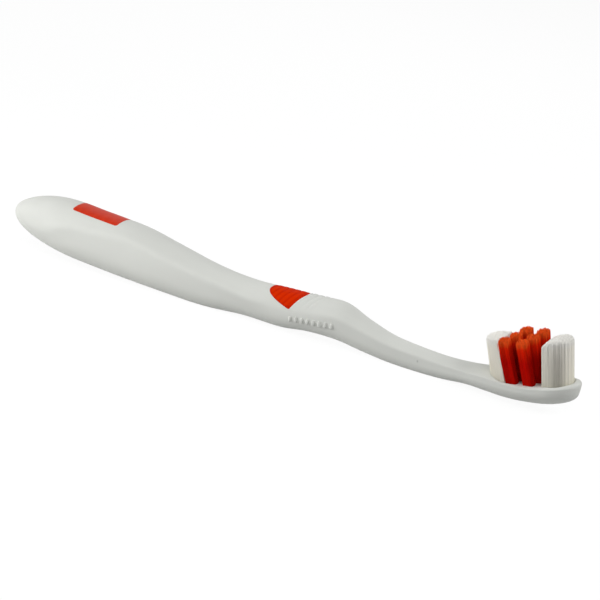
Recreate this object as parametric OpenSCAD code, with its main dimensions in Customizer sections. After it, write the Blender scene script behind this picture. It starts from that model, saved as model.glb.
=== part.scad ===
// Manual toothbrush lying on its back, bristles up.
// X runs from the tail to the toe of the head, Z is up and the table is z = 0.
// The origin is on the table, midway between the tail and the toe.

/* [Handle] */
// Overall length, tail to toe
brush_l = 185.4; // [176:0.2:196]
// Width of the handle near the tail
tail_w = 16.4; // [15:0.2:18]
// Width of the waist under the thumb
waist_w = 11.2; // [10:0.2:12.4]
// Width of the neck at its thinnest
neck_w = 6.4; // [5.6:0.2:7.4]
// Width of the head
head_w = 12; // [11.6:0.1:13]

/* [Thumb grip] */
// Length of the soft pad along the top
pad_l = 11.4; // [10:0.2:13]
// Depth of the pad's bed in the handle
pad_depth = 0.9; // [0.6:0.1:1.2]
// How far the pad's valleys stand out of the handle
pad_proud = 0.05; // [0.05:0.05:0.3]
// Height of the cross ridges on the pad
pad_ridge = 0.15; // [0.1:0.05:0.4]

/* [Label panel] */
// Length of the bare coloured panel
label_l = 16; // [12:0.5:18]
// Width of the panel across the handle
label_w = 8.2; // [6:0.2:9]

/* [Side beads] */
// Number of beads in each row
bead_count = 8; // [5:1:9]
// Distance from bead to bead
bead_pitch = 1.85; // [1.4:0.05:2]

/* [Tufts] */
// Height of the heel block over the carrier
heel_h = 11.9; // [10:0.1:13]
// Height of the toe block at its flat face
toe_h = 11.6; // [10:0.1:13]
// Height of the red tufts on the right, in the middle and on the left
red_h = [12.1, 12.9, 13.7];
// Length of a red tuft along the brush
red_l = 3.1; // [2.6:0.1:3.1]
// Width of a red tuft across the brush
red_w = 2.7; // [2.2:0.1:2.8]
// Strands across a red tuft, along and across the brush
red_grid = [5, 6];
// Strands of the heel block, along and across the brush
heel_grid = [7, 10];
// Strands of the toe block, along and across the brush
toe_grid = [8, 10];

/* [Hidden] */

// Side profile and plan of the body as [distance from the tail, value], drawn for a 185.4 mm brush
drawn_l = 185.4;
top_edge = [[0, 19.3], [14, 19.2], [28, 18], [42, 17], [56, 14.5], [70, 12.2], [84, 11.3], [96, 11.9],
    [105, 12.3], [114, 12.9], [122, 10.1], [130, 7.9], [138, 7.1], [147, 6.6], [154, 6.7], [160, 7.1],
    [166, 7.1], [172, 7.8], [178, 9.5], [185.4, 11.6]];
under_edge = [[0, 2.5], [14, 2.2], [28, 1.4], [42, 0.6], [56, 0.1], [70, -0.3], [84, 0.7], [96, 0.6],
    [105, 1.8], [114, 1.9], [122, 0.9], [130, 0.1], [138, -0.2], [147, 0.3], [154, 1.1], [160, 1.1],
    [166, 1.1], [172, 1.7], [178, 2.9], [185.4, 5.5]];
half_plan = [[0, 0.49 * tail_w], [28, 0.5 * tail_w], [42, 0.5 * tail_w], [56, 0.465 * tail_w], [70, 6.5],
    [84, waist_w / 2], [105, waist_w / 2], [114, 5.2], [122, 4.4], [130, 3.6], [138, neck_w / 2],
    [147, 3.4], [154, 4.1], [160, 5.1], [166, head_w / 2 - 0.2], [172, head_w / 2], [185.4, head_w / 2]];
// Squareness of the section: 2 is an ellipse, more is squarer
top_square = [[0, 2.2], [28, 2.4], [138, 2.4], [147, 2.5], [154, 3], [160, 4], [166, 5], [185.4, 5]];
under_square = [[0, 2.1], [84, 2.1], [100, 1.9], [120, 1.9], [138, 2], [160, 1.85], [185.4, 1.8]];
// Share of its height at which the section is widest: the head is flat on top and round below
wide_at = [[0, 0.5], [138, 0.5], [154, 0.6], [166, 0.72], [185.4, 0.72]];

// The head keeps its size when the length changes, and the handle takes up the difference
head_from = 147;
stretch = (brush_l - drawn_l + head_from) / head_from;
// Lengths over which the tail and the toe round off
nose_l = 26;
toe_l = 9;
nose_rings = 9;
body_rings = 46;
toe_rings = 8;
columns = 32;

// Seat of the bristles: a plane that climbs towards the toe
seat_x = brush_l - 13.4;
seat_z = 7.5;
seat_tilt = 10.76;
carrier_t = 1.6;
roots_t = 0.4;
carrier_r = 4.95;
pocket_r = 5;
roots_r = 4.75;
// How far the pocket's tool stands out above the seat
pocket_clear = 2;
heel_centre = -7.2;
toe_centre = 6.85;
// Clearance between welded pieces, so that they touch without crossing
gap = 0.02;
// Height in the drawn profile at which the table flattens the underside, in two broad landings
table_z = 0.5;
// Depth of the block that cuts them
ground_t = 2;
small_fn = 24;
round_fn = 64;

// Thumb pad: middle of its rear edge, reach down each side in degrees from the top, and blunt tips
pad_x = 91 * stretch;
pad_reach = 72;
pad_tip = 0.5;
pad_sweep = 8.2;
pad_rear_power = 2.7;
pad_front_power = 1.4;
pad_columns = 24;
pad_rows = 16;
// How far the tool that cuts the pad's bed stands out of the skin
pad_clear = 1.5;

label_x = 31 * stretch;
label_z = 16.3;
label_tilt = 3.9;
label_corner = 0.8;
// Height of the upright block that cuts the panel's bed
label_block_h = 6;

bead_x = 100.4 * stretch;
bead_z = 5.9;
bead_climb = 0.2;
bead_r = 0.5;
bead_l = 1.6;
bead_out = 0.48;

// Red tufts: places of the rear ones on the seat, step to the front ones, how far the tops shift, how
// steeply they climb to the left and to the toe, and how far they drop at their edges
red_y = [-3.1, 0, 3.1];
red_x = [-4.4, -3.4, -2.1];
red_step = 4.8;
red_lean = [-1.9, -1.1, -0.7];
red_slant = 0.25;
red_climb = 0.12;
red_crown = 0.25;
red_round = 0.12;
red_flare = [1, 1.06, 1.12];
// White blocks: flat face, depth, half width and shift of the tops. The toe block has a crown part of
// the way along it and a slight dome across.
heel_flat = -6.2;
heel_depth = 5;
heel_half = 4.4;
heel_lean = -1.2;
toe_flat = 4.5;
toe_depth = 6.9;
toe_half = 4.6;
toe_lean = 0;
toe_crown = 1.4;
toe_crown_at = 0.65;
toe_dome = 0.15;
block_corner = 0.95;
block_square = 2.5;
strand_fill = 0.7;

// Slope of a curve of [x, value] points at point i
function slope(c, i) =
    let (lo = max(i - 1, 0), hi = min(i + 1, len(c) - 1))
    (c[hi][1] - c[lo][1]) / (c[hi][0] - c[lo][0]);

// Value at x of the smooth cubic curve through such points
function along(c, x) =
    let (i = max([for (k = [0:len(c) - 2]) if (k == 0 || c[k][0] <= x) k]),
        h = c[i + 1][0] - c[i][0],
        t = (x - c[i][0]) / h)
    (2 * t ^ 3 - 3 * t ^ 2 + 1) * c[i][1] + (t ^ 3 - 2 * t ^ 2 + t) * h * slope(c, i)
    + (3 * t ^ 2 - 2 * t ^ 3) * c[i + 1][1] + (t ^ 3 - t ^ 2) * h * slope(c, i + 1);

// Place on the drawn brush of a place on this one
function drawn(x) = x < head_from * stretch ? x / stretch : x - brush_l + drawn_l;

// The section at x: half width, height of its widest line, reach above it and below it, and their
// squareness
function section(x) =
    let (d = drawn(x),
        under = along(under_edge, d),
        tall = along(top_edge, d) - under,
        wide = along(wide_at, d),
        n = max(0, (nose_l - x) / nose_l),
        t = max(0, (x - brush_l + toe_l) / toe_l),
        nose = sqrt(1 - n ^ 2),
        full = tall * nose * (1 - t ^ 4) ^ 0.25)
    [along(half_plan, d) * nose * sqrt(1 - t ^ 2), under + wide * tall, (1 - wide) * full, wide * full,
        along(top_square, d), along(under_square, d)];

// Point of the skin at angle a round the section s at x, grown outwards
function skin_point(x, s, a, grow = 0) =
    let (above = a > 0 && a < 180, p = 2 / (above ? s[4] : s[5]), c = cos(a), h = sin(a))
    [x, (s[0] + grow) * sign(c) * abs(c) ^ p, s[1] + ((above ? s[2] : s[3]) + grow) * sign(h) * abs(h) ^ p];

// Two triangles of a four-cornered face, clockwise from outside
function two(a, b, c, d) = [[a, b, c], [a, c, d]];

// The whole outer body: rings of skin points, closed by a point at the tail and one at the toe
module body_skin() {
    rings = concat(
        [for (k = [1:nose_rings]) nose_l * (1 - cos(90 * k / nose_rings))],
        [for (k = [1:body_rings]) nose_l + k * (brush_l - nose_l - toe_l) / body_rings],
        [for (k = [1:toe_rings - 1]) brush_l - toe_l + toe_l * sin(90 * k / toe_rings)]);
    last = len(rings) - 1;
    tail = len(rings) * columns;
    toe = tail + 1;
    points = concat(
        [for (x = rings) let (s = section(x)) for (j = [0:columns - 1]) skin_point(x, s, 360 * j / columns)],
        [[0, 0, section(0)[1]], [brush_l, 0, section(brush_l)[1]]]);
    faces = concat(
        [for (i = [0:last - 1], j = [0:columns - 1])
            let (k = (j + 1) % columns)
            each two(i * columns + j, i * columns + k, (i + 1) * columns + k, (i + 1) * columns + j)],
        [for (j = [0:columns - 1]) [tail, (j + 1) % columns, j]],
        [for (j = [0:columns - 1]) [toe, last * columns + j, last * columns + (j + 1) % columns]]);
    polyhedron(points, faces);
}

// Rear and front edge of the thumb pad at f, from 0 at the top to 1 at its tips
function pad_rear(f) = pad_x + pad_sweep * f ^ pad_rear_power;
function pad_front(f) =
    pad_x + pad_l - (pad_l - pad_sweep - pad_tip) * f ^ pad_front_power;

// A pad on the skin from under the surface to above it, with ridges across it
module pad_solid(under, over, ridge) {
    rows = pad_rows + 1;
    shell = rows * (pad_columns + 1);
    points = [for (side = [0, 1], j = [0:pad_columns], i = [0:pad_rows])
        let (f = 2 * j / pad_columns - 1,
            x = pad_rear(abs(f)) + (pad_front(abs(f)) - pad_rear(abs(f))) * i / pad_rows)
        skin_point(x, section(x), 90 + pad_reach * f, side == 0 ? -under : over + ridge * (i % 2))];
    faces = concat(
        [for (j = [0:pad_columns - 1], i = [0:pad_rows - 1])
            let (k = j * rows + i)
            each two(k, k + rows, k + rows + 1, k + 1)],
        [for (j = [0:pad_columns - 1], i = [0:pad_rows - 1])
            let (k = shell + j * rows + i)
            each two(k, k + 1, k + rows + 1, k + rows)],
        [for (i = [0:pad_rows - 1]) each two(i, i + 1, shell + i + 1, shell + i)],
        [for (i = [0:pad_rows - 1])
            let (k = pad_columns * rows + i)
            each two(k + 1, k, shell + k, shell + k + 1)],
        [for (j = [0:pad_columns - 1])
            let (k = j * rows)
            each two(k + rows, k, shell + k, shell + k + rows)],
        [for (j = [0:pad_columns - 1])
            let (k = j * rows + pad_rows)
            each two(k, k + rows, shell + k + rows, shell + k)]);
    polyhedron(points, faces);
}

// Upright block with rounded corners that the label panel fills
module label_block(shrink) {
    l = label_l - 2 * shrink;
    w = label_w - 2 * shrink;
    translate([label_x, 0, label_z + shrink])
        rotate([0, label_tilt, 0])
            linear_extrude(label_block_h) {
                square([l, w - 2 * label_corner], center = true);
                square([l - 2 * label_corner, w], center = true);
                for (x = [-1, 1], y = [-1, 1])
                    translate([x * (l / 2 - label_corner), y * (w / 2 - label_corner)])
                        circle(label_corner, $fn = small_fn);
            }
}

// Short upright beads in a climbing row, half sunk in one side of the waist
module bead_row(side) {
    for (k = [0:bead_count - 1]) {
        x = bead_x + k * bead_pitch;
        out = section(x)[0] + bead_out - bead_r;
        translate([x, side * out, bead_z + k * bead_climb - bead_l / 2])
            cylinder(r = bead_r, h = bead_l, $fn = small_fn);
    }
}

// Puts a piece drawn from the tail into the part's frame
module from_tail() {
    translate([-brush_l / 2, 0, -table_z]) children();
}

// Puts a piece drawn on the bristles' seat into the part's frame
module on_seat() {
    from_tail() translate([seat_x, 0, seat_z]) rotate([0, -seat_tilt, 0]) children();
}

// Long hole with round ends: outline of the pocket, the carrier and the fused roots
module seat_outline(r) {
    translate([heel_centre, 0]) circle(r, $fn = round_fn);
    translate([toe_centre, 0]) circle(r, $fn = round_fn);
    translate([heel_centre, -r]) square([toe_centre - heel_centre, 2 * r]);
}

// Foot of a red tuft at u and v from -1 to 1, for row 0 to 2 and rear 0 or front 1
function red_foot(row, col, u, v, grow = 0) =
    [red_x[row] + col * red_step + (red_l / 2 + grow) * u * (1 - red_round * v ^ 2),
        red_y[row] + (red_w / 2 + grow) * v * (1 - red_round * u ^ 2)];

// Foot of a white block at u from -1 at its flat face to 1 at its round face, and v across it
function block_foot(flat, depth, half, u, v, grow = 0) =
    let (reach = (1 - (block_corner * abs(v)) ^ block_square) ^ (1 / block_square))
    [flat + sign(depth) * (grow * u + abs(depth) * reach * (u + 1) / 2), (half + grow) * v];

// Line k of a strip of n strands, from -1 to 1, with gaps between the strands
function strand_line(k, n) =
    2 * (floor(k / 2) + (k % 2) * strand_fill) / (n - 1 + strand_fill) - 1;

// Lines round the edge of a grid of strands, as [u, v], anticlockwise from above
function edge_lines(n) =
    let (a = 2 * n[0] - 1, b = 2 * n[1] - 1)
    concat([for (i = [0:a - 1]) [i, 0]], [for (j = [0:b - 1]) [a, j]],
        [for (i = [a:-1:1]) [i, b]], [for (j = [b:-1:1]) [0, j]]);

// A tuft in one closed solid: a slice of the carrier with four-sided strands that stand on it.
// foot(u, v) places a corner on the seat, and tip(p) takes a foot to the top of its strand.
module tuft(n, foot, tip) {
    across = 2 * n[1];
    spots = [for (i = [0:2 * n[0] - 1], j = [0:across - 1])
        foot(strand_line(i, n[0]), strand_line(j, n[1]))];
    edge = [for (e = edge_lines(n)) e[0] * across + e[1]];
    tops = len(spots);
    under = tops + 4 * n[0] * n[1];
    middle = under + len(edge);
    centre = foot(0, 0);
    points = concat(
        [for (p = spots) [p[0], p[1], 0]],
        [for (i = [0:n[0] - 1], j = [0:n[1] - 1], c = [[0, 0], [1, 0], [1, 1], [0, 1]])
            tip(spots[(2 * i + c[0]) * across + 2 * j + c[1]])],
        [for (e = edge) [spots[e][0], spots[e][1], -carrier_t]],
        [[centre[0], centre[1], -carrier_t]]);
    faces = concat(
        [for (i = [0:2 * n[0] - 2], j = [0:across - 2])
            if (i % 2 == 1 || j % 2 == 1)
                let (k = i * across + j)
                each two(k, k + 1, k + across + 1, k + across)],
        [for (i = [0:n[0] - 1], j = [0:n[1] - 1])
            let (k = 2 * i * across + 2 * j,
                low = [k, k + across, k + across + 1, k + 1],
                top = tops + 4 * (i * n[1] + j))
            each concat(two(top, top + 3, top + 2, top + 1),
                [for (c = [0:3])
                    let (d = (c + 1) % 4)
                    each two(low[c], top + c, top + d, low[d])])],
        [for (k = [0:len(edge) - 1])
            let (m = (k + 1) % len(edge))
            each two(edge[k], edge[m], under + m, under + k)],
        [for (k = [0:len(edge) - 1]) [middle, under + k, under + (k + 1) % len(edge)]]);
    polyhedron(points, faces);
}

// Window in the carrier for a tuft with the foot given
module window(n, foot) {
    polygon([for (e = edge_lines(n)) foot(strand_line(e[0], n[0]), strand_line(e[1], n[1]))]);
}

module handle() {
    color("whitesmoke")
        from_tail()
            difference() {
                union() {
                    body_skin();
                    bead_row(-1);
                    bead_row(1);
                }
                translate([0, -head_w, table_z - ground_t]) cube([brush_l, 2 * head_w, ground_t]);
                label_block(0);
                pad_solid(pad_depth, pad_clear, 0);
                translate([seat_x, 0, seat_z])
                    rotate([0, -seat_tilt, 0])
                        translate([0, 0, -carrier_t - roots_t])
                            linear_extrude(carrier_t + roots_t + pocket_clear) seat_outline(pocket_r);
            }
}

module thumb_grip() {
    color("red") from_tail() pad_solid(pad_depth - gap, pad_proud, pad_ridge);
}

module label_panel() {
    color("red")
        from_tail()
            intersection() {
                body_skin();
                label_block(gap);
            }
}

module bristle_carrier() {
    color("white")
        on_seat()
            translate([0, 0, -carrier_t])
                linear_extrude(carrier_t)
                    difference() {
                        seat_outline(carrier_r);
                        window(heel_grid, function (u, v)
                            block_foot(heel_flat, -heel_depth, heel_half, u, v, gap));
                        window(toe_grid, function (u, v)
                            block_foot(toe_flat, toe_depth, toe_half, u, v, gap));
                        for (row = [0:2], col = [0, 1])
                            window(red_grid, function (u, v) red_foot(row, col, u, v, gap));
                    }
}

module fused_roots() {
    color("lightgray")
        on_seat()
            translate([0, 0, -carrier_t - roots_t + gap])
                linear_extrude(roots_t - 2 * gap) seat_outline(roots_r);
}

module heel_tuft() {
    color("ghostwhite")
        on_seat()
            tuft(heel_grid,
                function (u, v) block_foot(heel_flat, -heel_depth, heel_half, -u, v),
                function (p) [p[0] + heel_lean, p[1], heel_h]);
}

module toe_tuft() {
    color("ghostwhite")
        on_seat()
            tuft(toe_grid,
                function (u, v) block_foot(toe_flat, toe_depth, toe_half, u, v),
                function (p)
                    [p[0] + toe_lean, p[1],
                        toe_h + toe_crown * (1 - ((p[0] - toe_flat) / toe_depth / toe_crown_at - 1) ^ 2)
                            - toe_dome * (p[1] / toe_half) ^ 2]);
}

// A red tuft that leans to the heel and spreads a little towards its top
module red_tuft(row, col) {
    centre = red_foot(row, col, 0, 0);
    color("orangered")
        on_seat()
            tuft(red_grid,
                function (u, v) red_foot(row, col, u, v),
                function (p)
                    [centre[0] + red_lean[row] + red_flare[row] * (p[0] - centre[0]),
                        centre[1] + red_flare[row] * (p[1] - centre[1]),
                        red_h[row] + red_slant * (p[1] - centre[1]) + red_climb * (p[0] - centre[0])
                            - red_crown * ((2 * (p[0] - centre[0]) / red_l) ^ 2
                                + (2 * (p[1] - centre[1]) / red_w) ^ 2)]);
}

module right_rear_tuft() {
    red_tuft(0, 0);
}

module right_front_tuft() {
    red_tuft(0, 1);
}

module middle_rear_tuft() {
    red_tuft(1, 0);
}

module middle_front_tuft() {
    red_tuft(1, 1);
}

module left_rear_tuft() {
    red_tuft(2, 0);
}

module left_front_tuft() {
    red_tuft(2, 1);
}

handle();
thumb_grip();
label_panel();
bristle_carrier();
fused_roots();
heel_tuft();
toe_tuft();
right_rear_tuft();
right_front_tuft();
middle_rear_tuft();
middle_front_tuft();
left_rear_tuft();
left_front_tuft();
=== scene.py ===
"""Looks of a manual toothbrush that lies on a pale table, bristles up.

Lengths of the brush are millimetres from its tail, and to_frame turns them into the frame's metres. Places
on its head are also given on the seat, the tilted plane that the bristles stand on. Angles round the body
run from its left side over the top.
"""
import math

import bpy
import numpy as np
from mathutils import Matrix, Vector


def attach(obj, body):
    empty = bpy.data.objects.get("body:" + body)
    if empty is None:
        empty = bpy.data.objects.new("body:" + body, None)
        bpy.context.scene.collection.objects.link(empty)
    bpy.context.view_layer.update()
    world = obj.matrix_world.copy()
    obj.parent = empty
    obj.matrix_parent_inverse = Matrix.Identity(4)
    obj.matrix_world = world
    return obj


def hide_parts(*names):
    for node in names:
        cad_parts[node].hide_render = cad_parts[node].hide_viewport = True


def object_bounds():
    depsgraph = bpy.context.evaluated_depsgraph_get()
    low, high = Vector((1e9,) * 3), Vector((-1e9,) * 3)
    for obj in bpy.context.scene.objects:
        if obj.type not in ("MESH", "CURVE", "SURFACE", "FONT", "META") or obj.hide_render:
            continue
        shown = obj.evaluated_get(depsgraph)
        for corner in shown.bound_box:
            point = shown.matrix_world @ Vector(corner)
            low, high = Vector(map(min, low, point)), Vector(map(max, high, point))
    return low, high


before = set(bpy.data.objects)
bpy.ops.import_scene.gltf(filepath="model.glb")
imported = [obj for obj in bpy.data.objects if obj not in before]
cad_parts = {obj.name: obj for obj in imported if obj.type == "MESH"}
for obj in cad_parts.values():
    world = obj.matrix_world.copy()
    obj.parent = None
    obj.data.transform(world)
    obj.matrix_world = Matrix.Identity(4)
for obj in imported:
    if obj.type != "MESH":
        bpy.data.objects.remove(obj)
CAD_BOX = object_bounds()

MM = 0.001
LENGTH = (CAD_BOX[1].x - CAD_BOX[0].x) / MM

# Body, against the distance from the tail: height of its top and of its underside, half its width, and how
# square its section is over the widest line and under it
TOP_EDGE = [(0, 19.3), (14, 19.2), (28, 18), (42, 17), (56, 14.5), (70, 12.2), (84, 11.3), (96, 11.9),
            (105, 12.3), (114, 12.9), (122, 10.1), (130, 7.9), (138, 7.1), (147, 6.6), (154, 6.7),
            (160, 7.1), (166, 7.1), (172, 7.8), (178, 9.5), (185.4, 11.6)]
UNDER_EDGE = [(0, 2.5), (14, 2.2), (28, 1.4), (42, 0.6), (56, 0.1), (70, -0.3), (84, 0.7), (96, 0.6),
              (105, 1.8), (114, 1.9), (122, 0.9), (130, 0.1), (138, -0.2), (147, 0.3), (154, 1.1),
              (160, 1.1), (166, 1.1), (172, 1.7), (178, 2.9), (185.4, 5.5)]
HALF_PLAN = [(0, 8.04), (28, 8.2), (42, 8.2), (56, 7.63), (70, 6.5), (84, 5.6), (105, 5.6), (114, 5.2),
             (122, 4.4), (130, 3.6), (138, 3.2), (147, 3.4), (154, 4.1), (160, 5.1), (166, 5.8),
             (172, 6), (185.4, 6)]
TOP_SQUARE = [(0, 2.2), (28, 2.4), (138, 2.4), (147, 2.5), (154, 3), (160, 4), (166, 5), (185.4, 5)]
UNDER_SQUARE = [(0, 2.1), (84, 2.1), (100, 1.9), (120, 1.9), (138, 2), (160, 1.85), (185.4, 1.8)]

# Share of its height at which the section is widest: the head is flat on top and round below
WIDE_AT = [(0, 0.5), (138, 0.5), (154, 0.6), (166, 0.72), (185.4, 0.72)]

# Ends of the body, and the table under it
NOSE = 26                   # length over which the tail rounds off
TOE = 9                     # length over which the toe rounds off
TABLE_Z = 0.5               # height in the profile, which flattens the underside in two landings

# Rings of the body, close together at the waist and on the head, where the small forms are
WAIST_FROM = 88
WAIST_TO = 116
HEAD_FROM = 155
WIDE_PITCH = 0.8
WAIST_PITCH = 0.16
HEAD_PITCH = 0.22
TAIL_RINGS = 40
TOE_RINGS = 50

# Soft crease along each side: degrees over the widest line, against the distance from the tail
CREASE_LINE = [(0, -10), (15, -3), (24, 20), (34, 30), (46, 42), (58, 39), (67, 36), (76, 30), (84, 18),
               (92, 13), (102, 14), (112, 21), (122, 28), (136, 28), (147, 28), (155, 23), (162, 20),
               (172, 19), (179, 9), (186, 6)]
CREASE_OUT = 0.42           # height near the tail
CREASE_WIDE = 13            # half width near the tail, in degrees
CREASE_START = (4, 24)      # where it rises from the tail
CREASE_FADE = (85, 94)      # where it sinks at the pad
CREASE_BACK = (104, 116)    # where it comes back along the beads
CREASE_FADED = 0.8          # share of the height that is gone in between

# Where the crease changes: from, to, and what is added there to its height and to its half width
CREASE_STEPS = [(26, 42, 0.23, 3), (86, 120, -0.33, -3), (150, 165, -0.18, -4)]

# Shallow dent in the front of the hump
DENT_X = 117
DENT_DEEP = 0.2
DENT_LONG = 5               # half length
DENT_UP = 22                # degrees over the crease
DENT_WIDE = 13              # half width in degrees

# Faint mark on the neck's right side, where the mould was filled
GATE = (139.7, -3.2, 4.2)
GATE_SIZE = (0.34, 0.34, 0.5)   # half sizes
GATE_DARK = 0.34                # how much darker its middle is

# Seat of the bristles, which climbs towards the toe, and the carrier on it
SEAT = np.array([172, 0, 7.5])
SEAT_TILT = math.radians(10.76)
CARRIER_R = 4.95            # radius of its round ends
HEEL_CENTRE = -7.2          # middle of the rear one
TOE_CENTRE = 6.85           # middle of the front one

# Bed that the head's top drops into round the carrier
BED_DEEP = 0.9
BED_GAP = 0.1               # between the carrier and the border
BED_STEP = (-0.12, 0.25)    # distances inside the border over which the skin drops
BED_SHORT = 0.85            # how far the middle of its rear end lies in front of the carrier's
BED_UNDER = 2.2             # how far under the seat the skin still drops

# Thumb pad
PAD_X = 91                  # rear edge on the top
PAD_LENGTH = 11.4           # on the top
PAD_REACH = 72              # degrees down each side from the top
PAD_TIP = 0.5               # width of its tips
PAD_SWEEP = 8.2             # how far forward its rear edge runs down to the tips
PAD_REAR_BEND = 2.7         # power of the rear edge's curve
PAD_FRONT_BEND = 1.4        # power of the front edge's curve
PAD_DEEP = 0.6              # depth in the handle
PAD_OUT = 0.02              # how far its valleys stand out of the handle

# Ridges across the pad
RIDGE_PITCH = 1.9
RIDGE_ROUND = 0.7           # power of the cosine: under 1 the crests are broad
RIDGE_OUT = 0.09            # height
RIDGE_RISE = (0.2, 0.9)     # distances from the border over which they rise
RIDGE_TIPS = 5              # distance from the tips that the top counts as

# Faint ridges in front of the pad
FRONT_OUT = 0.24            # height
FRONT_START = (0, 0.6)      # distances ahead of the pad over which they rise
FRONT_END = (4.5, 8)        # distances ahead of the pad over which they fade
FRONT_SIDE = (0.55, 0.95)   # shares of the pad's reach over which they fade down each side

# Bare panel near the tail
PANEL_X = 31                # middle
PANEL_LENGTH = 16
PANEL_WIDTH = 8.2
PANEL_CORNER = 0.8          # radius
PANEL_DEEP = 0.4            # depth in the handle
PANEL_OUT = 0.05            # how far it stands out of the handle
PANEL_ROLL = 0.03           # how far its border rolls over

# Upright beads in a climbing row on each side
BEADS = 8
BEAD_X = 100.4              # middle of the first one
BEAD_Z = 5.9
BEAD_PITCH = 1.85
BEAD_CLIMB = 0.2            # from one to the next
BEAD_R = 0.52
BEAD_REACH = 0.9            # half length
BEAD_OUT = 0.48             # how far they stand out of the handle
BEAD_ROUND = 0.5            # power of the width: under 1 the ends are blunt
BEAD_END = 0.8              # power of the height

# Filaments of every tuft
FILAMENT = 0.18             # thickness
PACKING = FILAMENT * 1.04   # pitch in a row
ROW_STEP = 0.866            # distance between rows, as a share of the pitch
FOOT = 0.2                  # depth of their feet under the seat
STRAY = 0.03                # how far each bends by itself
END_CAP = FILAMENT * 0.15   # height of the rounded end over the last ring

# Rings of a filament: share of its length at each, and share of its thickness there
RING_AT = np.array([0, 0.3, 0.6, 0.85, 0.97, 1.0])
RING_SIZE = np.array([1, 1, 1, 0.97, 0.75, 0.3])

# Red tufts
RED_LENGTH = 3.1            # foot, along the brush
RED_WIDTH = 2.7             # foot, across the brush
RED_CORNER = 0.12           # how far its corners draw in
RED_CLIMB_LEFT = 0.25       # slope of the top up to the left
RED_CLIMB_TOE = 0.12        # slope of the top up to the toe
RED_DROP = 0.25             # how far the top drops at its border
RED_PATCHES = 0.3           # how uneven the top is in patches
RED_UNEVEN = 0.06           # how uneven it is from one filament to the next

# Red tufts one by one: name, place on the seat, shift of the top, height, and spread of the top
RED_TUFTS = [
    ("right_rear", -4.4, -3.1, -2.4, 12.1, 1.1), ("right_front", 0.4, -3.1, -1.9, 12.1, 0.96),
    ("middle_rear", -3.4, 0, -1.1, 12.9, 1.06), ("middle_front", 1.4, 0, -1.1, 12.9, 1.06),
    ("left_rear", -2.1, 3.1, -0.7, 13.7, 1.12), ("left_front", 2.7, 3.1, -0.7, 13.7, 1.12),
]

# White blocks
WHITE_ROUND = 2.5           # power of the curve of the back
WHITE_SIDE = 0.95           # share of that curve that the half width takes in
CROWN_AT = 0.65             # share of the depth at which the top is highest
WHITE_DROP = 0.3            # how far the top drops at its border
WHITE_BORDER = (0.8, 1.05)  # shares of the way out over which it drops
WHITE_PATCHES = 0.16        # how uneven the top is in patches
WHITE_UNEVEN = 0.05         # how uneven it is from one filament to the next
WHITE_SPREAD = 1.01         # how much wider the top is than the foot

# White blocks one by one: name, flat face on the seat, depth away from it, half width, shift of the top,
# height, rise of the crown, drop at the sides, and evenness of tone
WHITE_BLOCKS = [("heel", -6.2, -5.0, 4.4, -1.2, 11.9, 0, 0, 0.85),
                ("toe", 4.5, 6.9, 4.6, 0, 11.6, 1.4, 0.15, 0.65)]

# Right corner of the heel block's flat face, which a red tuft presses on
GIVE = 0.6                  # how much further it leans, as a share of the block's lean
GIVE_SIDE = (1.0, 2.4)      # distances to the right over which it begins to

# Painted shade on the toe block's sides, darker towards the foot
SHADE_X = 8.6               # middle on the seat
SHADE_LONG = 2.4            # half length
SHADE_SIDE = (2.4, 4)       # distances out over which the shade begins

# Camera
CAMERA_PLACE = (212.41, -419.07, 189.23)
CAMERA_RIGHT = (0.87069, 0.47716, 0.11927)
CAMERA_UP = (-0.27159, 0.26427, 0.92542)
LENS = 105.41
SENSOR = 36

# Soft round lamps, in metres: name, place, target, width and watts
LAMPS = [
    ("key", (-0.403, -0.282, 0.087), (0, 0, 0), 0.25, 1.02),
    ("side", (0.377, 0.066, 0.321), (0, 0, 0), 0.3, 0.87),
    ("front", (0.207, -0.246, 0.383), (0, 0, 0), 0.25, 0.48),
    ("rear", (-0.118, 0.364, 0.321), (0, 0, 0), 0.3, 0.38),
    ("handle_top", (-0.09, -0.14, 0.215), (-0.06, 0, 0.01), 0.16, 0.17),
    ("handle_low", (-0.259, -0.139, 0.07), (-0.06, 0, 0.01), 0.16, 0.12),
]
SKY_LIGHT = 0.15            # strength of the light from all round

# Table
TABLE_HALF = 3.0            # half its width, in metres
TABLE_GREY = 0.6            # of its lit surface
TABLE_GLOW = 1.11           # white that the camera sees over the lit surface
TABLE_SHOWN = 0.84          # share of that white

RNG = np.random.default_rng(7)


def curve(points, x):
    """Cubic Hermite curve through (x, value) points, its slope at each point that of the chord between
    the neighbours."""
    xs, ys = np.array(points, float).T
    slope = np.empty(len(xs))
    slope[1:-1] = (ys[2:] - ys[:-2]) / (xs[2:] - xs[:-2])
    slope[0] = (ys[1] - ys[0]) / (xs[1] - xs[0])
    slope[-1] = (ys[-1] - ys[-2]) / (xs[-1] - xs[-2])
    i = np.clip(np.searchsorted(xs, x, side="right") - 1, 0, len(xs) - 2)
    h = xs[i + 1] - xs[i]
    t = (x - xs[i]) / h
    return ((2 * t**3 - 3 * t**2 + 1) * ys[i] + (t**3 - 2 * t**2 + t) * h * slope[i]
            + (3 * t**2 - 2 * t**3) * ys[i + 1] + (t**3 - t**2) * h * slope[i + 1])


def smooth(a, b, x):
    """Smooth step from 0 at a to 1 at b."""
    t = np.clip((x - a) / (b - a), 0, 1)
    return t * t * (3 - 2 * t)


def power(v, p):
    """v to the power p, with the sign of v."""
    return np.sign(v) * np.abs(v) ** p


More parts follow.
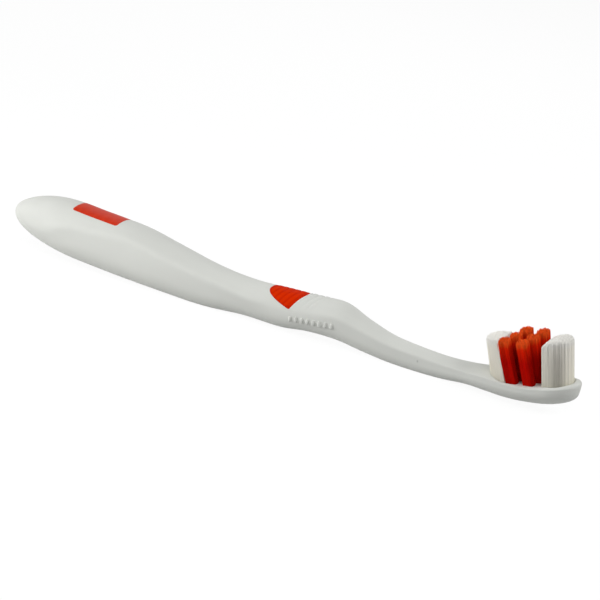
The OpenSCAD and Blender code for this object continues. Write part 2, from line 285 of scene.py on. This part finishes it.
def section(x):
    """Half width, height of the widest line, reach above it and below it and the two squarenesses of the
    body's section at x. The tail rounds off as an ellipse. The toe does so as an ellipse in plan and as
    a fourth-power curve in height."""
    under = curve(UNDER_EDGE, x)
    wide = curve(WIDE_AT, x)
    tall = curve(TOP_EDGE, x) - under
    tail = np.sqrt(1 - np.clip((NOSE - x) / NOSE, 0, 1) ** 2)
    toe = np.clip((x - LENGTH + TOE) / TOE, 0, 1)
    full = tall * tail * (1 - toe**4) ** 0.25
    return (curve(HALF_PLAN, x) * tail * np.sqrt(1 - toe**2), under + wide * tall, (1 - wide) * full,
            wide * full, curve(TOP_SQUARE, x), curve(UNDER_SQUARE, x))


def skin(x, angle):
    """Point of the body's skin: half a superellipse over the widest line and half of one under it, in the
    upright plane at x."""
    half, middle, above, below, top_n, under_n = section(x)
    up = np.sin(angle) > 0
    p = 2 / np.where(up, top_n, under_n)
    y = half * power(np.cos(angle), p)
    z = middle + np.where(up, above, below) * power(np.sin(angle), p)
    return np.stack(np.broadcast_arrays(x, y, z), -1)


def outward(points, middle):
    """Unit vectors from the middle of the section to points of its skin, upright and across the brush."""
    away = np.stack([0 * points[..., 0], points[..., 1], points[..., 2] - middle], -1)
    return away / np.linalg.norm(away, axis=-1, keepdims=True)


def to_frame(points):
    """Millimetres from the tail to metres in the part's frame, which starts midway along the brush."""
    return (np.asarray(points, float) - (LENGTH / 2, 0, TABLE_Z)) * MM


def from_seat(points):
    """Points on the tilted seat of the bristles to millimetres from the tail."""
    x, y, z = np.moveaxis(np.asarray(points, float), -1, 0)
    c, s = math.cos(SEAT_TILT), math.sin(SEAT_TILT)
    return np.stack([SEAT[0] + c * x - s * z, y, SEAT[2] + s * x + c * z], -1)


def to_seat(points):
    """The reverse of from_seat."""
    d = np.asarray(points, float) - SEAT
    c, s = math.cos(SEAT_TILT), math.sin(SEAT_TILT)
    return np.stack([c * d[..., 0] + s * d[..., 2], d[..., 1], -s * d[..., 0] + c * d[..., 2]], -1)


def grid_quads(rows, cols, closed=False, start=0):
    """Quads of a grid of rows by cols points, its columns joined round where closed."""
    i, j = np.meshgrid(np.arange(rows - 1), np.arange(cols if closed else cols - 1), indexing="ij")
    k = (j + 1) % cols
    corners = [i * cols + j, (i + 1) * cols + j, (i + 1) * cols + k, i * cols + k]
    return start + np.stack(corners, -1).reshape(-1, 4)


def fan(centre, start, count, turned=False):
    """Triangles from one point to a closed ring of count points, the other way round where turned."""
    j = np.arange(count)
    k = (j + 1) % count
    if turned:
        j, k = k, j
    return np.stack([np.full(count, centre), start + j, start + k], -1)


def new_piece(name, verts, quads, material, replaces, tris=None, uv=None):
    """Makes a smooth mesh of vertices in millimetres, quads and triangles, with the point values u and v
    where given, and rides it on the part's one body."""
    faces = [quads] if tris is None else [quads, tris]
    loops = np.concatenate([f.ravel() for f in faces]).astype(np.int32)
    sizes = np.concatenate([np.full(len(f), f.shape[1]) for f in faces])
    starts = np.concatenate([[0], np.cumsum(sizes)[:-1]]).astype(np.int32)
    mesh = bpy.data.meshes.new(name)
    mesh.vertices.add(len(verts))
    mesh.vertices.foreach_set("co", to_frame(verts).astype(np.float32).ravel())
    mesh.loops.add(len(loops))
    mesh.loops.foreach_set("vertex_index", loops)
    mesh.polygons.add(len(sizes))
    mesh.polygons.foreach_set("loop_start", starts)
    mesh.polygons.foreach_set("use_smooth", np.ones(len(sizes), bool))
    mesh.update(calc_edges=True)
    mesh.validate()
    if uv is not None:
        layer = mesh.uv_layers.new(name="place")
        layer.data.foreach_set("uv", np.asarray(uv, np.float32)[loops].ravel())
    piece = bpy.data.objects.new(name, mesh)
    bpy.context.scene.collection.objects.link(piece)
    mesh.materials.append(material)
    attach(piece, "root")
    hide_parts(replaces)
    return piece


class Value:
    """What one socket gives, over a surface: arithmetic on it adds Math nodes."""

    def __init__(self, finish, socket):
        self.finish = finish
        self.socket = socket

    def _math(self, operation, *inputs):
        return self.finish.node("ShaderNodeMath", {"operation": operation}, dict(enumerate(inputs)))

    def __add__(self, other):
        return self._math("ADD", self, other)

    def __sub__(self, other):
        return self._math("SUBTRACT", self, other)

    def __rsub__(self, other):
        return self._math("SUBTRACT", other, self)

    def __mul__(self, other):
        return self._math("MULTIPLY", self, other)

    __radd__, __rmul__ = __add__, __mul__


class Finish:
    """A material with a Principled shader: node() adds any other node and gives one of its outputs."""

    def __init__(self, name, **constants):
        self.material = bpy.data.materials.new(name)
        self.material.use_nodes = True
        self.tree = self.material.node_tree
        self.shader = self.tree.nodes["Principled BSDF"]
        self.set(**constants)

    def node(self, kind, settings=None, inputs=None, out=0):
        """Adds a node of a kind, with its settings first and then what its sockets hold or are fed."""
        made = self.tree.nodes.new(kind)
        for key, value in (settings or {}).items():
            if key == "stops":
                self._stops(made.color_ramp, value)
            else:
                setattr(made, key, value)
        for key, value in (inputs or {}).items():
            self.feed(made.inputs[key], value)
        return Value(self, made.outputs[out])

    def feed(self, socket, value):
        """Links a value that varies, or writes down one that doesn't."""
        if isinstance(value, Value):
            self.tree.links.new(value.socket, socket)
        else:
            socket.default_value = value

    def _stops(self, ramp, stops):
        for stop in stops[2:]:
            ramp.elements.new(stop[0])
        for element, (place, colour) in zip(ramp.elements, sorted(stops)):
            element.position = place
            element.color = rgba(*colour)

    def set(self, **values):
        """Feeds the shader's sockets, named with _ for each space."""
        for socket, value in values.items():
            self.feed(self.shader.inputs[socket.replace("_", " ")], value)
        return self

    def place(self):
        """Where a point of the surface lies on the brush, in metres."""
        return self.node("ShaderNodeTexCoord", out="Object")

    def own(self, axis):
        """One of the piece's own point values: 0 for u and 1 for v."""
        spot = self.node("ShaderNodeUVMap", {"uv_map": "place"})
        return self.node("ShaderNodeSeparateXYZ", {}, {0: spot}, out=axis)

    def noise(self, scale, detail, rough, vector=None):
        """Cloudy noise, with scale counted to the metre."""
        return self.node("ShaderNodeTexNoise", {}, {
            "Vector": vector or self.place(), "Scale": scale, "Detail": detail, "Roughness": rough})

    def ramp(self, value, *stops):
        """Colour that runs through stops, each a place from 0 to 1 and a colour."""
        return self.node("ShaderNodeValToRGB", {"stops": list(stops)}, {0: value})

    def mix(self, factor, a, b, blend="MIX"):
        """Colour a where the factor is 0, and towards 1 more of b, or of a times b with MULTIPLY."""
        return self.node("ShaderNodeMix", {"data_type": "RGBA", "blend_type": blend},
                         {0: factor, 6: a, 7: b}, out=2)

    def bump(self, height, strength, distance_mm, normal=None):
        """Fine relief of a height, on top of another relief where one is given."""
        inputs = {"Height": height, "Strength": strength, "Distance": distance_mm * MM}
        if normal:
            inputs["Normal"] = normal
        return self.node("ShaderNodeBump", {}, inputs)


def rgba(r, g, b):
    """An opaque colour."""
    return (r, g, b, 1.0)


def white_plastic(name, base):
    """Moulded white plastic: faint cloudy flow in the colour, uneven gloss and a skin as fine as an
    orange's. Towards the middle of the gate mark it is darker."""
    finish = Finish(name, IOR=1.49, Specular_IOR_Level=0.1)
    cloud = finish.noise(55, 3, 0.6)
    fine = finish.noise(2600, 2, 0.5)
    wear = finish.noise(380, 4, 0.7)
    colour = finish.ramp(cloud, (0.3, tuple(0.965 * c for c in base)), (0.7, base))
    scale = 1 / (np.array(GATE_SIZE) * MM)
    around = finish.node("ShaderNodeMapping", {}, {
        "Vector": finish.place(), "Location": tuple(-scale * to_frame(GATE)), "Scale": tuple(scale)})
    away = finish.node("ShaderNodeVectorMath", {"operation": "LENGTH"}, {0: around}, out=1)
    colour = finish.mix(GATE_DARK * (1 - away), colour, rgba(0, 0, 0))
    flow = finish.bump(cloud, 0.15, 0.25)
    return finish.set(Base_Color=colour, Roughness=0.4 + 0.14 * wear,
                      Normal=finish.bump(fine, 0.12, 0.02, flow)).material


def soft_rubber(name):
    """Red elastomer: matte, with a fine stipple, paler dust in patches and painted shade, a darker tone in
    the valleys between the ridges."""
    finish = Finish(name, IOR=1.45, Specular_IOR_Level=0.02)
    grain = finish.noise(5200, 3, 0.6)
    cloud = finish.noise(420, 2, 0.5)
    # Painted shade: darker red in the valleys between the ridges, where v is 0, and lighter red on the
    # crests
    base = finish.mix(finish.own(1), rgba(0.54, 0.012, 0.0), rgba(0.68, 0.024, 0.0))
    colour = finish.mix(0.2 * cloud, base, rgba(0.75, 0.05, 0.0))
    return finish.set(Base_Color=colour, Roughness=0.5 + 0.2 * grain,
                      Normal=finish.bump(grain, 0.25, 0.03)).material


def printed_red(name):
    """Red panel film: satin, with a slight mottle of the ink and a faint brushed grain along the brush."""
    finish = Finish(name, IOR=1.5, Specular_IOR_Level=0.05)
    along = finish.node("ShaderNodeMapping", {}, {"Vector": finish.place(), "Scale": (0.12, 1, 1)})
    grain = finish.noise(4200, 2, 0.5, along)
    mottle = finish.noise(650, 3, 0.6)
    colour = finish.ramp(mottle, (0.3, (0.56, 0.028, 0.006)), (0.7, (0.64, 0.04, 0.01)))
    return finish.set(Base_Color=colour, Roughness=0.3 + 0.12 * grain,
                      Normal=finish.bump(grain, 0.08, 0.02)).material


def filament(name, dim, root, shaft, upper, tip):
    """Nylon filament: u is its tone, down to dim, which holds painted shade where a tuft has it, and v its
    height, from a dark root to a paler tip: partly the nylon's own colour and partly painted light where
    more light reaches and goes through."""
    finish = Finish(name, IOR=1.53, Specular_IOR_Level=0.03)
    tone = finish.own(0)
    # Partly painted light: the colour lightens from the root up the shaft to the tip, where more light
    # reaches and goes through
    body = finish.ramp(finish.own(1), (0.0, root), (0.55, shaft), (0.85, upper), (1.0, tip))
    shade = finish.ramp(tone, (0.0, (dim, dim, dim)), (1.0, (1, 1, 1)))
    return finish.set(Base_Color=finish.mix(1.0, body, shade, "MULTIPLY"),
                      Roughness=0.35 + 0.15 * tone).material


def melted(name):
    """Melted filament roots: cloudy pink and white beads run together."""
    finish = Finish(name, IOR=1.5)
    beads = finish.node("ShaderNodeTexVoronoi", {}, {"Vector": finish.place(), "Scale": 2400.0})
    colour = finish.ramp(beads, (0.0, (0.7, 0.5, 0.45)), (0.6, (0.8, 0.74, 0.7)))
    return finish.set(Base_Color=colour, Roughness=0.35 + 0.2 * beads,
                      Normal=finish.bump(beads, 0.4, 0.05)).material


def body_rings():
    """Distances of the body's rings: close at the waist and the head, where the small forms are, and
    closing in on the tail and the toe."""
    tail = NOSE * (1 - np.cos(np.linspace(0, np.pi / 2, TAIL_RINGS)[1:]))
    toe = LENGTH - TOE + TOE * np.sin(np.linspace(0, np.pi / 2, TOE_RINGS)[:-1])
    return np.concatenate([tail, np.arange(NOSE + WIDE_PITCH, WAIST_FROM, WIDE_PITCH),
                           np.arange(WAIST_FROM, WAIST_TO, WAIST_PITCH),
                           np.arange(WAIST_TO, HEAD_FROM, WIDE_PITCH),
                           np.arange(HEAD_FROM, LENGTH - TOE - HEAD_PITCH / 2, HEAD_PITCH), toe])


def even_angles(x, count, samples=1440):
    """Angles that share out the outline of each section evenly by length."""
    angle = np.linspace(0, 2 * np.pi, samples + 1)
    p = skin(x[:, None], angle[None, :])
    run = np.linalg.norm(np.diff(p, axis=1), axis=2)
    run = np.concatenate([np.zeros((len(x), 1)), np.cumsum(run, axis=1)], axis=1)
    share = np.linspace(0, 1, count, endpoint=False)
    return np.array([np.interp(share * r[-1], r, angle) for r in run])


def crease(x, degrees):
    """How far the soft crease along each side pushes the skin out: a bell curve across its line, whose
    height and width change along the brush. The dent in the hump's front, a bell curve both ways, is
    taken off above it."""
    line = curve(CREASE_LINE, x)
    out = CREASE_OUT + sum(more * smooth(a, b, x) for a, b, more, _ in CREASE_STEPS)
    wide = CREASE_WIDE + sum(more * smooth(a, b, x) for a, b, _, more in CREASE_STEPS)
    at_beads = smooth(*CREASE_FADE, x) * (1 - smooth(*CREASE_BACK, x))
    out = out * smooth(*CREASE_START, x) * (1 - CREASE_FADED * at_beads)
    up = np.minimum(degrees, 180 - degrees)
    up = np.where(degrees > 180, np.maximum(180 - degrees, degrees - 360), up)
    dent = np.exp(-((x - DENT_X) / DENT_LONG) ** 2 - ((up - line - DENT_UP) / DENT_WIDE) ** 2)
    return out * np.exp(-((up - line) / wide) ** 2) - DENT_DEEP * dent


def pad_edges(f):
    """Rear and front edge of the thumb pad, for f from 0 on the top to 1 at its tips: powers of f that
    meet but for the width of the tips."""
    f = np.abs(f)
    back = PAD_LENGTH - PAD_SWEEP - PAD_TIP
    return PAD_X + PAD_SWEEP * f**PAD_REAR_BEND, PAD_X + PAD_LENGTH - back * f**PAD_FRONT_BEND


def ridges(distance):
    """Rounded ridges a pitch apart, 1 on a crest and 0 in a valley: a power of a cosine's size."""
    return np.abs(np.cos(np.pi * distance / RIDGE_PITCH)) ** RIDGE_ROUND


def front_ridges(x, degrees):
    """Faint ridges that carry on in front of the pad, parallel to its edge, and fade towards the hump."""
    f = (degrees - 90) / PAD_REACH
    ahead = x - pad_edges(np.clip(f, -1, 1))[1]
    fade = smooth(*FRONT_START, ahead) * (1 - smooth(*FRONT_END, ahead))
    return FRONT_OUT * fade * (1 - smooth(*FRONT_SIDE, np.abs(f))) * ridges(ahead)


def seat_bed(points):
    """How far the head's top drops to make the bed of the carrier: the distance inside a long hole with
    round ends, through a steep smooth step."""
    p = to_seat(points)
    along = np.clip(p[..., 0], HEEL_CENTRE + BED_SHORT, TOE_CENTRE)
    inside = CARRIER_R + BED_GAP - np.hypot(p[..., 0] - along, p[..., 1])
    return np.where(p[..., 2] > -BED_UNDER, BED_DEEP * smooth(*BED_STEP, inside), 0)


def make_handle(material, columns=176):
    """The moulded body: rings of superellipse sections with evenly spaced points, pushed out by the
    crease and the ridges, and let down in the bristles' bed. A fan closes each end."""
    x = body_rings()
    angle = even_angles(x, columns)
    degrees = np.degrees(angle)
    p = skin(x[:, None], angle)
    height = crease(x[:, None], degrees) + front_ridges(x[:, None], degrees)
    middle = section(x)[1][:, None]
    p = p + height[..., None] * outward(p, middle)
    p[..., 2] -= seat_bed(p) * (np.sin(angle) > 0)
    p[..., 2] = np.maximum(p[..., 2], TABLE_Z)
    ends = [[end, 0, section(np.array(float(end)))[1]] for end in (0, LENGTH)]
    verts = np.concatenate([p.reshape(-1, 3), ends])
    last = p[..., 0].size
    tris = np.concatenate([fan(last, 0, columns), fan(last + 1, last - columns, columns, turned=True)])
    return new_piece("handle_body", verts, grid_quads(len(x), columns, closed=True), material,
                     "handle", tris)


def make_beads(material, side, rows=20, columns=28):
    """A row of upright beads half sunk in one side of the waist. Each is round across, as a ball whose
    width and height are powers of the cosine and sine of its tilt, and closes in a point at both ends."""
    k = np.arange(BEADS)
    x = BEAD_X + k * BEAD_PITCH
    centre = np.stack([x, side * (section(x)[0] + BEAD_OUT - BEAD_R), BEAD_Z + k * BEAD_CLIMB], -1)
    tilt = np.radians(np.linspace(-90, 90, rows + 2)[1:-1])[:, None]
    turn = np.linspace(0, 2 * np.pi, columns, endpoint=False)[None, :]
    radius = BEAD_R * np.cos(tilt) ** BEAD_ROUND
    ball = np.stack([radius * np.cos(turn), radius * np.sin(turn),
                     BEAD_REACH * power(np.sin(tilt), BEAD_END) + 0 * turn], -1).reshape(-1, 3)
    last = len(ball)
    ball = np.concatenate([ball, [[0, 0, -BEAD_REACH], [0, 0, BEAD_REACH]]])
    base = (k * len(ball))[:, None, None]
    quads = (base + grid_quads(rows, columns, closed=True)[None, :, ::-1]).reshape(-1, 4)
    caps = np.concatenate([fan(last, 0, columns, turned=True), fan(last + 1, last - columns, columns)])
    name = "left_beads" if side > 0 else "right_beads"
    return new_piece(name, (centre[:, None] + ball[None]).reshape(-1, 3), quads, material,
                     "handle", (base + caps[None]).reshape(-1, 3))


def make_grip(material, rows=150, columns=120):
    """The thumb pad: a patch of the skin between a rear and a front edge that meet at blunt tips down
    each side, with ridges parallel to the front edge. A copy of it further in and a wall round the border
    close it."""
    f = np.linspace(-1, 1, columns)[None, :]
    s = np.linspace(0, 1, rows)[:, None]
    rear, front = pad_edges(f)
    x = rear + (front - rear) * s
    angle = np.radians(90 + PAD_REACH * f) + 0 * s
    border = np.minimum(np.minimum(x - rear, front - x), RIDGE_TIPS * (1 - np.abs(f)) + 0 * s)
    crest = ridges(front - x) * smooth(*RIDGE_RISE, border)
    height = PAD_OUT + RIDGE_OUT * crest + crease(x, np.degrees(angle))
    base = skin(x, angle)
    out = outward(base, section(x)[1])
    verts = np.concatenate([(base + height[..., None] * out).reshape(-1, 3),
                            (base - PAD_DEEP * out).reshape(-1, 3)])
    count = rows * columns
    loop = np.concatenate([np.arange(columns), np.arange(1, rows) * columns + columns - 1,
                           (rows - 1) * columns + np.arange(columns - 2, -1, -1),
                           np.arange(rows - 2, 0, -1) * columns])
    after = np.roll(loop, -1)
    wall = np.stack([loop, after, count + after, count + loop], -1)
    under = grid_quads(rows, columns, start=count)[:, ::-1]
    quads = np.concatenate([grid_quads(rows, columns), under, wall])
    # v is the ridge height, which the red elastomer turns into painted shade in the valleys
    uv = np.stack([np.tile((s + 0 * x).ravel(), 2), np.tile(crest.ravel(), 2)], -1)
    return new_piece("thumb_pad", verts, quads, material, "thumb_grip", uv=uv)


def make_panel(material, rings=26, around=160):
    """The bare panel: a rounded rectangle laid on the skin. Rings shrink from its outline to the middle,
    closest together at the border, which rolls over and goes down into the handle."""
    turn = np.linspace(0, 2 * np.pi, around, endpoint=False)
    ray = np.stack([np.cos(turn), np.sin(turn)], -1)
    straight = np.array([PANEL_LENGTH / 2, PANEL_WIDTH / 2]) - PANEL_CORNER
    outline = np.clip(ray * 2 * PANEL_LENGTH, -straight, straight) + PANEL_CORNER * ray
    shrink = 1 - 0.98 * np.linspace(0, 1, rings) ** 1.6
    share = np.concatenate([[1, 1], shrink])
    drop = np.concatenate([[PANEL_DEEP, PANEL_ROLL], np.zeros(rings)])
    xy = outline[None] * share[:, None, None]
    x = PANEL_X + xy[..., 0]
    y = xy[..., 1]
    half, middle, above, _, n, _ = section(x)
    z = middle + above * (1 - np.abs(y / half) ** n) ** (1 / n) + PANEL_OUT - drop[:, None]
    verts = np.stack([x, y, z], -1).reshape(-1, 3)
    last = len(verts)
    ends = [[PANEL_X, 0, verts[-1, 2]], [PANEL_X, 0, verts[:around, 2].min()]]
    tris = np.concatenate([fan(last, last - around, around), fan(last + 1, 0, around, turned=True)])
    return new_piece("bare_panel", np.concatenate([verts, ends]),
                     grid_quads(len(share), around, closed=True)[:, ::-1], material,
                     "label_panel", tris)


def hexagonal(length, width):
    """Points of a hexagonal packing that fills a rectangle round the origin."""
    rows = int(length / PACKING) + 2
    cols = int(width / (PACKING * ROW_STEP)) + 2
    i, j = np.meshgrid(np.arange(-rows, rows + 1), np.arange(-cols, cols + 1), indexing="ij")
    x = PACKING * (i + 0.5 * (j % 2))
    y = PACKING * ROW_STEP * j
    keep = (np.abs(x) <= length / 2) & (np.abs(y) <= width / 2)
    return np.stack([x[keep], y[keep]], -1)


def patches(points, size, waves=8):
    """Random value from 0 to 1 that changes slowly over the seat, in patches about as wide as size: a sum
    of waves in random directions."""
    turn, start = RNG.uniform(0, 2 * np.pi, (2, waves))
    pitch = size * RNG.uniform(1.5, 3, waves)
    along = points[:, :1] * np.cos(turn) + points[:, 1:2] * np.sin(turn)
    return np.clip(0.5 + 0.13 * np.cos(2 * np.pi * along / pitch + start).sum(1), 0, 1)


def filaments(name, feet, tips, material, replaces, bend=0.3, calm=0.0, shade=0.0, sides=6):
    """A tuft of filaments, each a thin tube with a rounded end. Its middle line is a slow curve from foot
    to tip. Neighbours bend together by up to half of bend, and each one strays a little more. Their tone
    u is shared in patches too and evener by calm, and shade is painted shade that darkens it towards the
    foot; v is the height."""
    count = len(feet)
    stray = np.stack([patches(feet, 0.5), patches(feet, 0.5)], -1) * bend - bend / 2
    stray += RNG.normal(0, STRAY, (count, 2))
    line = feet[:, None, :] + (tips - feet)[:, None, :] * RING_AT[None, :, None]
    line[..., :2] += stray[:, None, :] * (RING_AT**2)[None, :, None]
    turn = np.linspace(0, 2 * np.pi, sides, endpoint=False)
    spin = RNG.uniform(0, 2 * np.pi, (count, 1, 1))
    ring = np.stack([np.cos(turn + spin), np.sin(turn + spin), 0 * (turn + spin)], -1)
    tube = line[:, :, None, :] + ring * (RING_SIZE * FILAMENT / 2)[None, :, None, None]
    caps = line[:, -1] + (0, 0, END_CAP)
    verts = np.concatenate([tube.reshape(count, -1, 3), caps[:, None]], axis=1)
    last = len(RING_AT) * sides
    base = np.arange(count)[:, None, None] * (last + 1)
    quads = (base + grid_quads(len(RING_AT), sides, closed=True)[None, :, ::-1]).reshape(-1, 4)
    ends = (base + fan(last, last - sides, sides)[None]).reshape(-1, 3)
    tone = np.clip(1.1 * patches(feet, 0.4) - 0.25 + RNG.uniform(0, 0.4, count), 0, 1)
    tone = (calm + (1 - calm) * tone)[:, None]
    height = np.concatenate([np.repeat(RING_AT, sides), [1.0]])[None, :] + 0 * tone
    # Painted shade: where shade is given, the tone darkens towards the foot
    tone = tone * (1 - np.reshape(shade, (-1, 1)) * (1 - height**4))
    return new_piece(name, from_seat(verts.reshape(-1, 3)), quads, material, replaces, ends,
                     np.stack([tone.ravel(), height.ravel()], -1))


def make_red_tuft(place, x, y, lean, height, flare, material):
    """A rounded square bundle that leans to the heel and spreads a little. Its uneven top climbs to the
    left and the toe and drops at its border."""
    feet = hexagonal(RED_LENGTH, RED_WIDTH)
    u = feet[:, 0] / (RED_LENGTH / 2)
    v = feet[:, 1] / (RED_WIDTH / 2)
    feet = feet * np.stack([1 - RED_CORNER * v**2, 1 - RED_CORNER * u**2], -1)
    uneven = RED_PATCHES * (patches(feet, 0.5) - 0.5)
    uneven = uneven + RNG.normal(0, RED_UNEVEN, len(feet))
    climb = RED_CLIMB_LEFT * feet[:, 1] + RED_CLIMB_TOE * feet[:, 0]
    top = height + climb - RED_DROP * (u**2 + v**2) ** 1.5 + uneven
    tips = np.stack([x + lean + feet[:, 0] * flare, y + feet[:, 1] * flare, top], -1)
    feet = np.stack([x + feet[:, 0], y + feet[:, 1], np.full(len(feet), -FOOT)], -1)
    return filaments(place + "_filaments", feet, tips, material, place + "_tuft")


def make_white_block(end, flat, depth, half, lean, height, crown, dome, calm, material):
    """A block whose foot is a D: a flat face towards the middle of the head and a superellipse for a
    back. Its top climbs to a crown on a parabola and rounds off at its border. The right corner of its
    flat face leans further than the rest, and a bell curve along the seat paints shade on its sides,
    darker towards the foot."""
    feet = hexagonal(2 * abs(depth), 2 * half)
    feet = feet[np.sign(depth) * feet[:, 0] >= 0]
    across = np.abs(feet[:, 1]) / half
    reach = (1 - (WHITE_SIDE * across) ** WHITE_ROUND) ** (1 / WHITE_ROUND)
    inward = np.abs(feet[:, 0] / depth)
    feet, across, reach, inward = (v[inward <= reach] for v in (feet, across, reach, inward))
    border = np.maximum(inward / reach, across)
    top = height + crown * (1 - (inward / CROWN_AT - 1) ** 2) - dome * across**2
    top = top - WHITE_DROP * smooth(*WHITE_BORDER, border) ** 2 + WHITE_PATCHES * patches(feet, 0.6)
    top = top + RNG.normal(0, WHITE_UNEVEN, len(feet))
    give = lean * GIVE * (1 - inward) * smooth(*GIVE_SIDE, -feet[:, 1])
    x = flat + feet[:, 0]
    tips = np.stack([flat + lean + give + feet[:, 0] * WHITE_SPREAD, feet[:, 1] * WHITE_SPREAD, top], -1)
    # Painted shade on the toe block's sides, darker towards the foot
    shade = np.exp(-((x - SHADE_X) / SHADE_LONG) ** 2) * smooth(*SHADE_SIDE, np.abs(feet[:, 1]))
    feet = np.stack([x, feet[:, 1], np.full(len(feet), -FOOT)], -1)
    return filaments(end + "_filaments", feet, tips, material, end + "_tuft",
                     bend=0.1, calm=calm, shade=shade)


def make_camera():
    """The photograph's viewpoint, worked out from the brush's outline: where it stands, its directions and
    its lens."""
    data = bpy.data.cameras.new("camera")
    camera = bpy.data.objects.new("camera", data)
    bpy.context.scene.collection.objects.link(camera)
    right = Vector(CAMERA_RIGHT)
    up = Vector(CAMERA_UP)
    turn = Matrix((right, up, right.cross(up))).transposed().to_4x4()
    camera.matrix_world = Matrix.Translation(Vector(CAMERA_PLACE) * MM) @ turn
    data.sensor_width = SENSOR
    data.lens = LENS
    data.clip_start = 0.01
    data.clip_end = 20
    bpy.context.scene.camera = camera


def make_lamp(name, place, target, width, watts):
    """A round soft lamp that looks at its target."""
    data = bpy.data.lights.new(name, "AREA")
    data.shape = "DISK"
    data.size = width
    data.energy = watts
    lamp = bpy.data.objects.new(name, data)
    bpy.context.scene.collection.objects.link(lamp)
    lamp.location = place
    lamp.rotation_euler = (Vector(target) - Vector(place)).to_track_quat("-Z", "Y").to_euler()


def camera_rays(tree):
    """1 for rays from the camera, mirrors and glass, and 0 for the light that falls on things."""
    path = tree.nodes.new("ShaderNodeLightPath")
    total = path.outputs["Is Camera Ray"]
    for other in ("Is Glossy Ray", "Is Transmission Ray"):
        add = tree.nodes.new("ShaderNodeMath")
        add.operation = "ADD"
        add.use_clamp = True
        tree.links.new(total, add.inputs[0])
        tree.links.new(path.outputs[other], add.inputs[1])
        total = add.outputs[0]
    return total


def show(tree, factor, lit, shown, output):
    """Mixes what lights things and what the camera sees, and feeds the tree's output."""
    both = tree.nodes.new("ShaderNodeMixShader")
    tree.links.new(factor, both.inputs[0])
    tree.links.new(lit.outputs[0], both.inputs[1])
    tree.links.new(shown.outputs[0], both.inputs[2])
    tree.links.new(both.outputs[0], tree.nodes[output].inputs[0])


def make_world():
    """White all round for the camera, and a faint cool light on things."""
    world = bpy.data.worlds.new("studio")
    bpy.context.scene.world = world
    world.use_nodes = True
    tree = world.node_tree
    lit = tree.nodes["Background"]
    lit.inputs["Color"].default_value = rgba(0.96, 0.98, 1)
    lit.inputs["Strength"].default_value = SKY_LIGHT
    shown = tree.nodes.new("ShaderNodeBackground")
    shown.inputs["Color"].default_value = rgba(1, 1, 1)
    shown.inputs["Strength"].default_value = 1.0
    show(tree, camera_rays(tree), lit, shown, "World Output")


def make_table():
    """A pale table that looks white to the camera and keeps a soft shadow: its lit grey shows through the
    glow in part."""
    white = bpy.data.materials.new("table_white")
    white.use_nodes = True
    tree = white.node_tree
    lit = tree.nodes["Principled BSDF"]
    lit.inputs["Base Color"].default_value = rgba(TABLE_GREY, TABLE_GREY, TABLE_GREY)
    lit.inputs["Roughness"].default_value = 0.9
    glow = tree.nodes.new("ShaderNodeEmission")
    glow.inputs["Strength"].default_value = TABLE_GLOW
    part = tree.nodes.new("ShaderNodeMath")
    part.operation = "MULTIPLY"
    part.inputs[1].default_value = TABLE_SHOWN
    tree.links.new(camera_rays(tree), part.inputs[0])
    show(tree, part.outputs[0], lit, glow, "Material Output")
    mesh = bpy.data.meshes.new("table")
    r = TABLE_HALF
    mesh.from_pydata([(-r, -r, 0), (r, -r, 0), (r, r, 0), (-r, r, 0)], [], [(0, 1, 2, 3)])
    mesh.materials.append(white)
    table = bpy.data.objects.new("table", mesh)
    bpy.context.scene.collection.objects.link(table)


def main():
    make_camera()
    white = white_plastic("white_plastic", (0.7, 0.71, 0.67))
    make_handle(white)
    make_beads(white, 1)
    make_beads(white, -1)
    make_grip(soft_rubber("red_elastomer"))
    make_panel(printed_red("red_panel"))
    # Filament colours from root to tip are partly painted light, lighter up the shaft; the white's dim is
    # low enough for the painted shade on the toe block's sides
    red = filament("red_filament", dim=0.7, root=(0.56, 0.004, 0), shaft=(0.6, 0.003, 0),
                   upper=(0.86, 0.02, 0.001), tip=(1, 0.14, 0.02))
    pale = filament("white_filament", dim=0.6, root=(0.91, 0.88, 0.76), shaft=(0.95, 0.915, 0.82),
                    upper=(0.97, 0.94, 0.86), tip=(1, 0.99, 0.95))
    for tuft in RED_TUFTS:
        make_red_tuft(*tuft, red)
    for block in WHITE_BLOCKS:
        make_white_block(*block, pale)
    for node, material in (("bristle_carrier", white_plastic("carrier_plastic", (0.7, 0.7, 0.67))),
                           ("fused_roots", melted("fused_roots"))):
        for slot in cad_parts[node].material_slots:
            slot.material = material
    make_world()
    make_table()
    for lamp in LAMPS:
        make_lamp(*lamp)
    bpy.context.scene.view_settings.view_transform = "Standard"


main()
